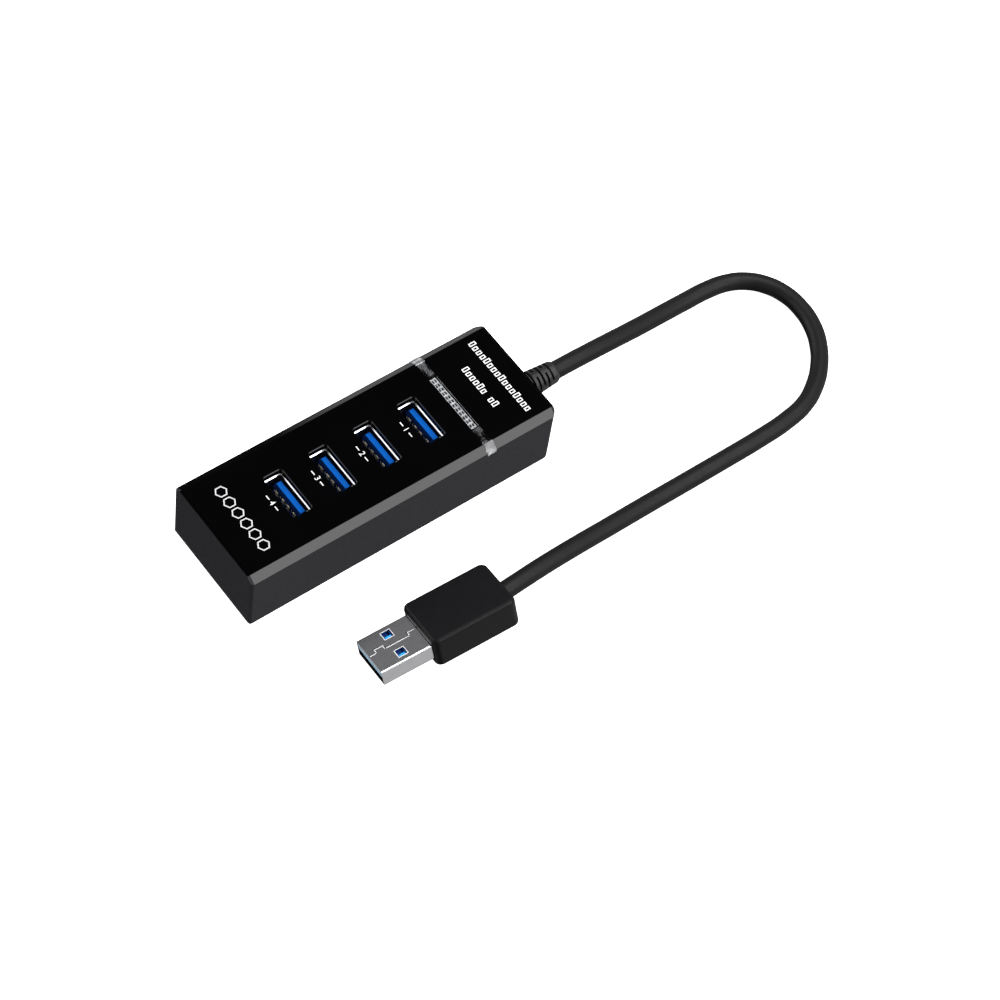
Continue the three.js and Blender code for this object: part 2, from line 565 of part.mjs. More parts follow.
// A component on the board's top at (x, y), chamfered round its upper edge.
function onBoard(x, y, [length, width, height]) {
  const inset = COMPONENT_CHAMFER;
  const step = height - inset;
  const body = raised(roundedRectangle(length, width, COMPONENT_RADIUS), 0, step, 2);
  const top = roundedRectangle(length - 2 * inset, width - 2 * inset, COMPONENT_RADIUS);
  return join(body, raised(top, step, height, 2)).translate([x, y, PORT_FOOT]);
}

// A round can on its square base.
function bulkCapacitor() {
  const [x, y] = [LIGHT_X + CAPACITOR_PLACE[0], BOARD_WIDTH / 2 - CAPACITOR_PLACE[1]];
  const [z0, z1] = [PORT_FOOT + CAPACITOR_BASE[2] / 2, PORT_FOOT + CAPACITOR_HEIGHT];
  return join(onBoard(x, y, CAPACITOR_BASE), cylinder(CAPACITOR_RADIUS, x, y, z0, z1));
}

// The controller sits beside port 1, and its crystal beside it.
const CONTROLLER_X = portX(0) + SHELL_OUTSIDE[0] / 2 + COMPONENT_GAP + CONTROLLER[0] / 2;
const CRYSTAL_Y = CONTROLLER[1] / 2 + COMPONENT_GAP + CRYSTAL[1] / 2;
const FUSE_Y = SHELL_OUTSIDE[1] / 2 + FUSE_GAP + FUSE[1] / 2;
const REGULATOR_PLACE = [BOARD_X[0] + REGULATOR_INSET[0], REGULATOR_INSET[1] - BOARD_WIDTH / 2];

// ---------------------------------------------------------------- strain relief and lead

function strainRelief() {
  const tip = HALF + RELIEF_REACH;
  const shoulder = HALF + RELIEF_CLEARANCE;
  const body = turnedAboutX([
    [FLANGE_FACE, 0], [FLANGE_FACE, RELIEF_FLANGE_RADIUS],
    [FLANGE_FACE + RELIEF_FLANGE, RELIEF_FLANGE_RADIUS], [FLANGE_FACE + RELIEF_FLANGE, RELIEF_NECK_RADIUS],
    [shoulder, RELIEF_NECK_RADIUS], [shoulder, RELIEF_ROOT_RADIUS],
    [tip - RELIEF_TIP_ROUND, RELIEF_TIP_RADIUS], [tip, RELIEF_TIP_RADIUS - RELIEF_TIP_ROUND / 2], [tip, 0],
  ], EXIT_HEIGHT);
  // Each ring of slots leaves two webs, and the webs turn by a quarter from ring to ring.
  const pitch = (RELIEF_REACH - RELIEF_SLOT_START - RELIEF_SLOT_END) / (RELIEF_SLOTS - 1);
  const slots = Array.from({ length: RELIEF_SLOTS }, (_, i) => {
    const [x0, x1] = about(HALF + RELIEF_SLOT_START + i * pitch, RELIEF_SLOT_WIDTH);
    const outer = RELIEF_ROOT_RADIUS + 1;
    const ring = turnedAboutX([
      [x0, RELIEF_CORE_RADIUS], [x0, outer], [x1, outer], [x1, RELIEF_CORE_RADIUS], [x0, RELIEF_CORE_RADIUS],
    ], EXIT_HEIGHT);
    const webs = i % 2
      ? block([x0 - 1, x1 + 1], about(0, RELIEF_WEB), about(EXIT_HEIGHT, 2 * outer + 1))
      : block([x0 - 1, x1 + 1], about(0, 2 * outer + 1), about(EXIT_HEIGHT, RELIEF_WEB));
    return cut(ring, webs);
  });
  return cut(body, ...slots);
}

const TAIL_END = FLANGE_FACE - FREE_END_GAP;
const cableTail = () => alongTheExit(CABLE_DIAMETER / 2, TAIL_END - TAIL_LENGTH, TAIL_END, 20);

// One wire from the cable's cut end down to its pad on the board.
function leadWire(index) {
  const middle = (WIRE_COLOURS.length - 1) / 2;
  const fan = (index - middle) * (WIRE_DIAMETER + WIRE_SPACING);
  const pad = (index - middle) * PAD_PITCH;
  const seat = BOARD_TOP + WIRE_DIAMETER / 2 + WIRE_SEAT;
  const foot = WIRE_START - WIRE_RUN;
  return tube([
    [WIRE_START, fan, EXIT_HEIGHT],
    [WIRE_START - WIRE_RUN * 0.3, fan * 1.2, EXIT_HEIGHT - 0.3],
    [foot + WIRE_RUN * 0.3, pad * 0.9, seat + 0.8],
    [foot, pad, seat],
    [foot - WIRE_LANDING, pad, seat],
  ], WIRE_DIAMETER / 2, 8, 12);
}

// ---------------------------------------------------------------- plug, drawn along +X from its tip

function plugShell() {
  const [width, thickness] = PLUG_SHELL;
  const inner = [width - 2 * PLUG_SHELL_WALL, thickness - 2 * PLUG_SHELL_WALL];
  const innerRadius = PLUG_SHELL_RADIUS - PLUG_SHELL_WALL;
  const outside = drawnAlongX(roundedRectangle(width, thickness, PLUG_SHELL_RADIUS), 0, PLUG_SHELL_LENGTH);
  const inside = drawnAlongX(roundedRectangle(...inner, innerRadius), -1, PLUG_SHELL_LENGTH + 1);
  const holes = [-1, 1].map((side) => block(
    about(PLUG_HOLE_AT[0], PLUG_HOLE), about(side * PLUG_HOLE_AT[1], PLUG_HOLE), [-thickness, thickness],
  ));
  // The seam where the sheet's edges lock together on top, with one dovetail.
  const [first, second, third] = PLUG_SEAM_TURNS;
  const runs = [[-1, first, 0], [first, second, PLUG_SEAM_STEP], [second, third, 0],
    [third, PLUG_SHELL_LENGTH - PLUG_SEAM_END, PLUG_SEAM_STEP]];
  const depth = [0, thickness / 2 + 1];
  const seamRuns = runs.map(([x0, x1, y]) => block([x0, x1 + PLUG_SEAM / 2], about(y, PLUG_SEAM), depth));
  const seamSteps = PLUG_SEAM_TURNS.map((x) => block(
    about(x, PLUG_SEAM), [-PLUG_SEAM / 2, PLUG_SEAM_STEP + PLUG_SEAM / 2], depth,
  ));
  return cut(outside, inside, ...holes, ...seamRuns, ...seamSteps);
}

const TONGUE_TOP = PLUG_SHELL[1] / 2 - PLUG_SHELL_WALL - PLUG_FIT;
const PLUG_BASE_START = PLUG_SHELL_EXPOSED - PLUG_BASE_PROUD;

function plugInsulator() {
  const across = about(0, PLUG_SHELL[0] - 2 * (PLUG_SHELL_WALL + PLUG_FIT) - PLUG_SIDE_PLAY);
  const end = PLUG_SHELL_LENGTH - PLUG_BASE_INSET;
  const tongue = block([PLUG_TONGUE_SINK, end], across, [TONGUE_TOP - PLUG_TONGUE, TONGUE_TOP]);
  const base = block([PLUG_BASE_START, end], across, [-TONGUE_TOP, TONGUE_TOP]);
  const [length, depth] = PLUG_POCKET;
  const down = [TONGUE_TOP - depth, TONGUE_TOP + 1];
  const pockets = [-1, 1].map((side) => block(
    about(PLUG_HOLE_AT[0], length), about(side * PLUG_HOLE_AT[1], PLUG_HOLE), down,
  ));
  return cut(join(tongue, base), ...pockets);
}

function plugContacts() {
  const top = TONGUE_TOP - PLUG_TONGUE - CONTACT_GAP;
  const layer = [top - CONTACT_THICKNESS, top];
  const end = PLUG_BASE_START - CONTACT_GAP;
  const strips = CONTACT_OFFSETS.map((y) => block([PLUG_CONTACT_START, end], about(y, CONTACT_WIDTH), layer));
  return join(block([end - CONTACT_CARRIER, end], CONTACT_SPAN, layer), ...strips);
}

const MOULD_START = PLUG_SHELL_LENGTH + INNER_MOULD_GAP;
const MOULD_SECTION = PLUG_SHELL.map((size, i) => size - INNER_MOULD_TRIM[i]);

function plugInnerMould() {
  const start = MOULD_START;
  return block([start, start + INNER_MOULD_LENGTH], about(0, MOULD_SECTION[0]), about(0, MOULD_SECTION[1]));
}

function plugOvermould() {
  const [width, thickness] = PLUG_SHELL.map((size, i) => size + 2 * OVERMOULD_WALL[i]);
  const edge = OVERMOULD_EDGE;
  const soft = new THREE.ExtrudeGeometry(roundedRectangle(OVERMOULD_LENGTH, width, OVERMOULD_CORNER), {
    depth: thickness - 2 * edge,
    bevelEnabled: true,
    bevelThickness: edge,
    bevelSize: edge,
    bevelOffset: -edge,
    bevelSegments: 3,
    curveSegments: 5,
  });
  const body = solid(soft.translate(PLUG_SHELL_EXPOSED + OVERMOULD_LENGTH / 2, 0, edge - thickness / 2));
  const sleeve = (grow) => roundedRectangle(
    PLUG_SHELL[0] + 2 * grow, PLUG_SHELL[1] + 2 * grow, PLUG_SHELL_RADIUS + grow,
  );
  const [recessDepth, recessMargin] = OVERMOULD_RECESS;
  return cut(
    body,
    drawnAlongX(sleeve(recessMargin), PLUG_SHELL_EXPOSED - 1, PLUG_SHELL_EXPOSED + recessDepth),
    drawnAlongX(sleeve(PLUG_FIT), PLUG_SHELL_EXPOSED - 1, MOULD_START),
    block(
      [MOULD_START - 0.5, MOULD_START + INNER_MOULD_LENGTH + PLUG_FIT],
      about(0, MOULD_SECTION[0] + 2 * PLUG_FIT), about(0, MOULD_SECTION[1] + 2 * PLUG_FIT),
    ),
  );
}

// ---------------------------------------------------------------- assembly

const hub = new THREE.Group();

hub.add(
  node('lower_housing', lowerHousing(), MATTE_SHELL),
  node('top_cover', topCover(), GLOSS_COVER),
  node('light_guide', lightGuide(), CLEAR),
  node('light_diffuser', lightDiffuser(), WHITE),
  node('main_board', mainBoard(), BOARD_GREEN),
);

for (const port of ports) {
  const place = new THREE.Group();
  place.position.x = portX(port);
  const label = `port_${port + 1}`;
  place.add(
    node(`${label}_shell`, portShell(), BRIGHT_METAL),
    node(`${label}_insulator`, portInsulator(), PORT_BLUE),
    node(`${label}_contacts`, portContacts(), CONTACT_METAL),
    node(`${label}_fuse`, onBoard(0, FUSE_Y, FUSE), CERAMIC),
  );
  hub.add(place);
}

hub.add(
  node('hub_controller', onBoard(CONTROLLER_X, 0, CONTROLLER), CHIP_BLACK),
  node('crystal', onBoard(CONTROLLER_X, CRYSTAL_Y, CRYSTAL), BRIGHT_METAL),
  node('power_regulator', onBoard(...REGULATOR_PLACE, REGULATOR), CHIP_BLACK),
  node('bulk_capacitor', bulkCapacitor(), BRIGHT_METAL),
  node('led_near', onBoard(LIGHT_X, -LED_Y, LED_SIZE), WHITE),
  node('led_far', onBoard(LIGHT_X, LED_Y, LED_SIZE), WHITE),
  node('strain_relief', strainRelief(), SOFT_BLACK),
  node('cable_tail', cableTail(), SOFT_BLACK),
);
WIRE_COLOURS.forEach((colour, i) => hub.add(node(`lead_wire_${i + 1}`, leadWire(i), finish(colour, 0.5))));

// The lead and its plug hang from the strain relief's tip, so they follow the housing's length.
const lead = new THREE.Group();
lead.position.x = HALF + RELIEF_REACH;
lead.add(node('cable', tube(CABLE_ROUTE, CABLE_DIAMETER / 2, CABLE_SIDES, CABLE_STEPS), SOFT_BLACK));

// The plug hangs from the cable's end, so a longer plug reaches further from it.
const plugEnd = new THREE.Group();
plugEnd.position.set(...PLUG_REAR);
plugEnd.rotation.set(...[PLUG_ROLL, PLUG_PITCH, PLUG_YAW].map(THREE.MathUtils.degToRad), 'ZYX');
const plug = new THREE.Group();
plug.position.x = -PLUG_SHELL_EXPOSED - OVERMOULD_LENGTH;
plug.add(
  node('plug_shell', plugShell(), BRIGHT_METAL),
  node('plug_insulator', plugInsulator(), PLUG_BLUE),
  node('plug_contacts', plugContacts(), CONTACT_METAL),
  node('plug_inner_mould', plugInnerMould(), WHITE),
  node('plug_overmould', plugOvermould(), SOFT_BLACK),
);
plugEnd.add(plug);
lead.add(plugEnd);
hub.add(lead);

export default hub;
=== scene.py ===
"""A four-port USB hub on its short fixed lead, on a pale floor in soft studio light."""

import json
import math

import bpy
import bmesh
from mathutils import Euler, Matrix, Vector


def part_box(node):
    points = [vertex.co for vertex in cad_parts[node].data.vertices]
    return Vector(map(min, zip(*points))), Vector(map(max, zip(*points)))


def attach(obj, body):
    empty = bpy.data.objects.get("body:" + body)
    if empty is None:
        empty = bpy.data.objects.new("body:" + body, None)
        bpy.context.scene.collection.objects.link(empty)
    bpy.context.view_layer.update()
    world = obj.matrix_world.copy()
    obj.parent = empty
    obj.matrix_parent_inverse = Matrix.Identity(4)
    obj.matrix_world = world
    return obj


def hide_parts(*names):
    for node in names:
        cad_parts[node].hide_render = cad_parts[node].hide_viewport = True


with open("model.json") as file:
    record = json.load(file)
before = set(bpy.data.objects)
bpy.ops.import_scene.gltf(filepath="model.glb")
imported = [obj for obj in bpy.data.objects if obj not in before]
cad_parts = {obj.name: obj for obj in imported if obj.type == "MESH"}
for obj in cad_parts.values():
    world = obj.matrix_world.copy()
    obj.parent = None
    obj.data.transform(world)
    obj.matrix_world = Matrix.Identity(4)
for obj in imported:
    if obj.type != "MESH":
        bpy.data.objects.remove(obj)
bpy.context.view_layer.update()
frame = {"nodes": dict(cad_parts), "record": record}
NODES = frame["nodes"]
MM = 0.001
BODY = "root"
PORTS = (1, 2, 3, 4)


def centre(node):
    low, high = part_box(node)
    return (low + high) / 2


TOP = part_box("top_cover")[1].z  # the cover's face
RELIEF_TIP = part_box("strain_relief")[1].x
TONGUE_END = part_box("port_1_insulator")[1].z

# The plug's own frame: X runs back from the middle of its tip, and Z is up through its marked side.
PLUG_TIP = Vector((-27.581, -40.716, 4.271)) * MM
PLUG_TURN = Euler([math.radians(a) for a in (-16, -6.1, -4.8)], "XYZ")
PLUG_FRAME = Matrix.Translation(PLUG_TIP) @ PLUG_TURN.to_matrix().to_4x4()


# ------------------------------------------------------------------ camera

CAMERA_PLACE = Vector((-270.9, -313.7, 617.9)) * MM
CAMERA_TARGET = Vector((21.06, -23.63, 9.0)) * MM
CAMERA_ROLL = math.radians(10.18)
LENS = 114.33
SENSOR = 36


def make_camera():
    data = bpy.data.cameras.new("camera")
    data.lens = LENS
    data.sensor_width = SENSOR
    data.clip_start = 0.01
    camera = bpy.data.objects.new("camera", data)
    bpy.context.scene.collection.objects.link(camera)
    aim = (CAMERA_TARGET - CAMERA_PLACE).to_track_quat("-Z", "Y").to_matrix().to_4x4()
    camera.matrix_world = Matrix.Translation(CAMERA_PLACE) @ aim @ Matrix.Rotation(CAMERA_ROLL, 4, "Z")
    bpy.context.scene.camera = camera


make_camera()


# ------------------------------------------------------------------ materials

def math_node(tree, operation, first, second):
    """One sum, whose terms are numbers or other nodes' outputs."""
    node = tree.nodes.new("ShaderNodeMath")
    node.operation = operation
    for socket, value in zip(node.inputs, (first, second)):
        if isinstance(value, (int, float)):
            socket.default_value = value
        else:
            tree.links.new(value, socket)
    return node.outputs[0]


class Shade:
    """A Principled material with a few short ways to add texture to it."""

    def __init__(self, name, colour, roughness, metallic=0.0):
        self.material = bpy.data.materials.new(name)
        self.material.use_nodes = True
        self.tree = self.material.node_tree
        self.shader = self.tree.nodes["Principled BSDF"]
        self.colour = colour
        self.put("Base Color", (*colour, 1))
        self.put("Roughness", roughness)
        self.put("Metallic", metallic)
        self.places = self.tree.nodes.new("ShaderNodeTexCoord")
        self.heights = []

    def put(self, socket, value):
        self.shader.inputs[socket].default_value = value
        return self

    def noise(self, scale, detail=3.0, stretch=(1, 1, 1)):
        """Noise of about 1/scale metres a blotch, stretched along an axis."""
        mapping = self.tree.nodes.new("ShaderNodeMapping")
        mapping.inputs["Scale"].default_value = stretch
        texture = self.tree.nodes.new("ShaderNodeTexNoise")
        texture.inputs["Scale"].default_value = scale
        texture.inputs["Detail"].default_value = detail
        self.tree.links.new(self.places.outputs["Object"], mapping.inputs["Vector"])
        self.tree.links.new(mapping.outputs["Vector"], texture.inputs["Vector"])
        return texture.outputs["Fac"]

    def ramp(self, value, low, high, start=0.3, end=0.7):
        """Turns a value into a colour or grey between low and high."""
        ramp = self.tree.nodes.new("ShaderNodeValToRGB")
        ramp.color_ramp.elements[0].position = start
        ramp.color_ramp.elements[1].position = end
        ramp.color_ramp.elements[0].color = (*low, 1)
        ramp.color_ramp.elements[1].color = (*high, 1)
        self.tree.links.new(value, ramp.inputs["Fac"])
        return ramp.outputs["Color"]

    def mottle(self, scale, amount, detail=3.0, stretch=(1, 1, 1)):
        """Lightens and darkens the base colour by amount."""
        low = [c * (1 - amount) for c in self.colour]
        high = [c * (1 + amount) for c in self.colour]
        colour = self.ramp(self.noise(scale, detail, stretch), low, high)
        self.tree.links.new(colour, self.shader.inputs["Base Color"])
        return self

    def uneven_gloss(self, scale, low, high, detail=3.0, stretch=(1, 1, 1)):
        grey = self.ramp(self.noise(scale, detail, stretch), (low,) * 3, (high,) * 3)
        self.tree.links.new(grey, self.shader.inputs["Roughness"])
        return self

    def measure(self, axis, place=(0, 0, 0), turn=(0, 0, 0), both_sides=False):
        """The distance in metres along one axis of a frame at that place, turned by those angles."""
        mapping = self.tree.nodes.new("ShaderNodeMapping")
        mapping.vector_type = "TEXTURE"
        mapping.inputs["Location"].default_value = place
        mapping.inputs["Rotation"].default_value = turn
        split = self.tree.nodes.new("ShaderNodeSeparateXYZ")
        self.tree.links.new(self.places.outputs["Object"], mapping.inputs["Vector"])
        self.tree.links.new(mapping.outputs["Vector"], split.inputs["Vector"])
        return self.join_up("ABSOLUTE", split.outputs[axis]) if both_sides else split.outputs[axis]

    def join_up(self, operation, first, second=0.0):
        return math_node(self.tree, operation, first, second)

    def between(self, value, start, end, before, after):
        """Goes from before to after while value goes from start to end."""
        span = self.tree.nodes.new("ShaderNodeMapRange")
        for name, number in (("From Min", start), ("From Max", end), ("To Min", before), ("To Max", after)):
            span.inputs[name].default_value = number
        self.tree.links.new(value, span.inputs["Value"])
        return span.outputs["Result"]

    def blend_colour(self, factor, colour):
        """Mixes the base colour, with what already feeds it, towards another colour by a factor."""
        mix = self.tree.nodes.new("ShaderNodeMix")
        mix.data_type = "RGBA"
        base = self.shader.inputs["Base Color"]
        first, second = (socket for socket in mix.inputs if socket.type == "RGBA")
        if base.is_linked:
            self.tree.links.new(base.links[0].from_socket, first)
        else:
            first.default_value = (*self.colour, 1)
        second.default_value = (*colour, 1)
        self.tree.links.new(factor, mix.inputs[0])
        self.tree.links.new(next(o for o in mix.outputs if o.type == "RGBA"), base)
        return self

    def grain(self, scale, depth, detail=2.0, stretch=(1, 1, 1), strength=1.0):
        """A bump of about depth metres."""
        bump = self.tree.nodes.new("ShaderNodeBump")
        bump.inputs["Distance"].default_value = depth
        bump.inputs["Strength"].default_value = strength
        self.tree.links.new(self.noise(scale, detail, stretch), bump.inputs["Height"])
        if self.heights:
            self.tree.links.new(self.heights[-1].outputs["Normal"], bump.inputs["Normal"])
        self.heights.append(bump)
        self.tree.links.new(bump.outputs["Normal"], self.shader.inputs["Normal"])
        return self


def housing_plastic():
    shade = Shade("housing_plastic", (0.028, 0.028, 0.0315), 0.55).put("Specular IOR Level", 0.08)
    return shade.mottle(2600, 0.05).uneven_gloss(1500, 0.5, 0.6).grain(5200, 0.00002, strength=0.2)


def cover_gloss():
    shade = Shade("cover_gloss", (0.0008, 0.0008, 0.001), 0.06).put("Specular IOR Level", 0.25)
    shade.mottle(60, 0.25).uneven_gloss(45, 0.045, 0.085)
    return shade.grain(90, 0.00004, strength=0.04)


def clear_acrylic():
    """Clear over the ladder, streaky beyond it, and frosted in the lugs."""
    shade = Shade("clear_acrylic", (0.8, 0.81, 0.83), 0.04).put("IOR", 1.49)
    along = shade.measure("Y", both_sides=True)
    streaks = shade.ramp(shade.noise(420, 2, (1, 0.5, 1)), (0.0,) * 3, (0.13,) * 3, 0.45, 0.6)
    in_lug = shade.between(along, 13.4 * MM, 13.7 * MM, 0, 1)
    past_ladder = shade.between(along, 8.6 * MM, 9.2 * MM, 0, 1)
    streaky = shade.join_up("MULTIPLY", streaks, shade.join_up("SUBTRACT", past_ladder, in_lug))
    frosted = shade.join_up("MULTIPLY", in_lug, 0.05)
    clear = shade.join_up("SUBTRACT", 1.0, shade.join_up("MAXIMUM", streaky, frosted))
    shade.tree.links.new(clear, shade.shader.inputs["Transmission Weight"])
    gloss = shade.ramp(shade.noise(300), (0.02,) * 3, (0.05,) * 3)
    rougher = shade.join_up("MAXIMUM", gloss, shade.join_up("MULTIPLY", in_lug, 0.32))
    shade.tree.links.new(rougher, shade.shader.inputs["Roughness"])
    return shade


def diffuser_white(name="diffuser_white"):
    shade = Shade(name, (0.86, 0.87, 0.88), 0.45)
    return shade.mottle(1500, 0.05).grain(3000, 0.00002, strength=0.3)


def ladder_white():
    """The diffuser with a faint painted glow from emission, though no lamp lights it."""
    shade = diffuser_white("ladder_white")
    # Painted glow: emission makes the diffuser light up with no lamp behind it.
    return shade.put("Emission Color", (1, 1, 1, 1)).put("Emission Strength", 0.12)


def circuit_board():
    shade = Shade("circuit_board", (0.005, 0.028, 0.011), 0.45)
    return shade.mottle(350, 0.3, stretch=(1, 3, 1)).grain(1800, 0.00003, strength=0.4)


def bright_metal(name="bright_metal"):
    shade = Shade(name, (0.6, 0.6, 0.615), 0.22, metallic=1.0)
    shade.mottle(400, 0.03, stretch=(1, 3, 1)).uneven_gloss(900, 0.18, 0.26, stretch=(1, 3, 1))
    return shade.grain(4200, 0.000004, stretch=(1, 3, 1), strength=0.2)


def port_blue():
    """Blue on the tongue's end, with painted shade making it dark down inside the port."""
    shade = Shade("port_blue", (0.0008, 0.1, 0.46), 0.5).put("Specular IOR Level", 0.06).mottle(900, 0.1)
    # Painted shade: the colour goes dark from just below the tongue's end, in place of the shadow inside
    # the port.
    depth = shade.between(shade.measure("Z"), TONGUE_END - 0.12 * MM, TONGUE_END - 0.02 * MM, 0.94, 0)
    return shade.blend_colour(depth, (0.001, 0.006, 0.04)).grain(2600, 0.000015, strength=0.3)


def plug_blue():
    """A dark blue that paints the shade the shell casts on it, with painted light on its front face."""
    shade = Shade("plug_blue", (0.002, 0.03, 0.16), 0.35).mottle(900, 0.1)
    # Painted light: the front face is lightened in place of the light falling on it.
    front = shade.between(shade.measure("X", PLUG_TIP, PLUG_TURN), 0.3 * MM, 0.6 * MM, 0.95, 0)
    return shade.blend_colour(front, (0.4, 0.7, 0.95)).grain(2600, 0.000015, strength=0.3)


# A lighter copy of the insulator's blue: painted light on the lands seen through the plug's holes.
def land_blue():
    shade = Shade("land_blue", (0.03, 0.42, 0.95), 0.35)
    return shade.mottle(1200, 0.08).grain(2600, 0.000015, strength=0.3)


# A light copy of the insulator's blue: painted light on the insulator's front.
def front_blue():
    shade = Shade("front_blue", (0.5, 0.78, 1.0), 0.4)
    return shade.mottle(1200, 0.06).grain(2600, 0.000015, strength=0.3)


def plug_metal():
    """As the ports' metal, with painted shade making it dull and dark inside the shell."""
    shade = bright_metal("plug_metal")
    # Painted shade: the inside of the shell is darkened in place of its shadow.
    inside = shade.join_up(
        "MULTIPLY",
        shade.between(shade.measure("Y", PLUG_TIP, PLUG_TURN, True), 5.72 * MM, 5.78 * MM, 1, 0),
        shade.between(shade.measure("Z", PLUG_TIP, PLUG_TURN, True), 1.97 * MM, 2.03 * MM, 1, 0),
    )
    return shade.blend_colour(inside, (0.01, 0.01, 0.012))


def edge_metal():
    """Sheared and rolled edges of the plug's sheet metal."""
    shade = Shade("edge_metal", (0.9, 0.91, 0.93), 0.7, metallic=0.7)
    return shade.mottle(1800, 0.08).uneven_gloss(1500, 0.6, 0.8)


def contact_gold():
    shade = Shade("contact_gold", (0.66, 0.58, 0.45), 0.45, metallic=0.9)
    return shade.mottle(1500, 0.08).uneven_gloss(900, 0.38, 0.52)


def chip_black():
    shade = Shade("chip_black", (0.012, 0.012, 0.013), 0.55)
    return shade.mottle(1800, 0.2).grain(4000, 0.00002, strength=0.5)


def ceramic():
    return Shade("ceramic", (0.36, 0.24, 0.12), 0.6).mottle(2500, 0.2).grain(5000, 0.00001)


def cord_black():
    shade = Shade("cord_black", (0.0065, 0.0065, 0.007), 0.5).put("Specular IOR Level", 0.17)
    return shade.mottle(1300, 0.1).uneven_gloss(600, 0.46, 0.54).grain(3800, 0.00002, strength=0.2)


def relief_black():
    shade = Shade("relief_black", (0.0095, 0.0095, 0.01), 0.45).put("Specular IOR Level", 0.4)
    return shade.mottle(1300, 0.1).uneven_gloss(600, 0.4, 0.5).grain(3800, 0.00002, strength=0.2)


def plug_black():
    shade = Shade("plug_black", (0.0042, 0.0042, 0.005), 0.42).put("Specular IOR Level", 0.16)
    return shade.mottle(700, 0.12).uneven_gloss(900, 0.38, 0.46).grain(4200, 0.00002, strength=0.2)


def wire_skin(name, colour):
    return Shade(name, colour, 0.4).mottle(1200, 0.12).grain(2500, 0.00001, strength=0.3)


def print_ink(name, colour):
    return Shade(name, colour, 0.5).mottle(2500, 0.08).grain(5000, 0.000004, strength=0.3)


SHADES = {maker.__name__: maker() for maker in (
    housing_plastic, cover_gloss, clear_acrylic, diffuser_white, ladder_white, circuit_board,
    bright_metal, port_blue, plug_blue, land_blue, front_blue, plug_metal, edge_metal, contact_gold,
    chip_black, ceramic, cord_black, relief_black, plug_black,
)}
WIRES = {
    "wire_red": (0.4, 0.01, 0.01), "wire_green": (0.01, 0.2, 0.05), "wire_white": (0.6, 0.6, 0.6),
    "wire_black": (0.013, 0.013, 0.013), "wire_blue": (0.012, 0.08, 0.4),
}
SHADES.update({name: wire_skin(name, colour) for name, colour in WIRES.items()})
WHITE_INK = print_ink("white_ink", (0.86, 0.86, 0.86))
SILVER_INK = print_ink("silver_ink", (0.6, 0.6, 0.61))


# ------------------------------------------------------------------ pieces

def add_piece(name, data, shade, on=None):
    """Links a new object, gives it its material and slot, and lets it ride on the body."""
    piece = bpy.data.objects.new(name, data)
    bpy.context.scene.collection.objects.link(piece)
    if on is not None:
        piece.matrix_world = on
    data.materials.append(shade.material)
    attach(piece, BODY)
    return piece


# The lead's centre line, in millimetres: along X and Y from the strain relief's tip, and the height
# above the floor.
CABLE_ROUTE = [
    (0.3, 0, 7), (6, 0, 6.9), (12, 0.1, 6.45), (19, 0.4, 5.5), (27, 0.8, 4.3),
    (35, 1.3, 3.2), (43, 1.6, 2.45), (49.5, 1.5, 2.32), (55, 0.6, 2.3), (59.6, -1.6, 2.3),
    (63, -5, 2.3), (65.3, -9.8, 2.3), (65.9, -15.5, 2.3), (64.8, -21.6, 2.3), (62.1, -27.1, 2.3),
    (58.4, -31.7, 2.3), (53.8, -35.5, 2.3), (48.1, -38.4, 2.3), (41, -39.8, 2.3), (32, -40.3, 2.3),
    (21, -40.4, 2.3), (9, -40.4, 2.35), (-3, -40.6, 2.9), (-15, -41.2, 4.2), (-26, -41.9, 5.8),
    (-36, -42.7, 7.2), (-43, -43.3, 7.85), (-47.4, -43.6, 8),
]
CABLE_DIAMETER = 4.5 * MM


def make_cable():
    points = [Vector(p) * MM + Vector((RELIEF_TIP, 0, 0)) for p in CABLE_ROUTE]
    length = sum((b - a).length for a, b in zip(points, points[1:]))
    # Each end runs on by a hair, into the relief and the plug.
    tuck = 0.6 * MM
    points[0] += (points[0] - points[1]).normalized() * tuck
    points[-1] += (points[-1] - points[-2]).normalized() * tuck
    curve = bpy.data.curves.new("cable_jacket", "CURVE")
    curve.dimensions = "3D"
    curve.bevel_depth = CABLE_DIAMETER / 2
    curve.bevel_resolution = 6
    curve.resolution_u = 10
    curve.use_fill_caps = True
    spline = curve.splines.new("BEZIER")
    spline.bezier_points.add(len(points) - 1)
    for knot, place in zip(spline.bezier_points, points):
        knot.co = place
        knot.handle_left_type = knot.handle_right_type = "AUTO"
    cable = add_piece("cable_jacket", curve, SHADES["cord_black"])
    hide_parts("cable")
    return cable, length


cable, CABLE_LENGTH = make_cable()


# ------------------------------------------------------------------ carried-over nodes

SLOTS = {part["node"]: part["material_slot"] for part in frame["record"]["subparts"]}
SOFTENED = {  # the width in millimetres of the small round on each node's edges
    "lower_housing": 0.18, "top_cover": 0.07, "light_guide": 0.1, "light_diffuser": 0.04,
    "plug_shell": 0.09, "plug_overmould": 0.1, "strain_relief": 0.12, "bulk_capacitor": 0.1,
    **{f"port_{n}_shell": 0.07 for n in PORTS},
    **{f"port_{n}_insulator": 0.08 for n in PORTS},
}
WORN_INSTEAD = {
    "plug_shell": "plug_metal",
    "strain_relief": "relief_black",
    "light_diffuser": "ladder_white",
}
SHARP_ANGLE = math.radians(28)
LIP_DEPTH = 0.3 * MM


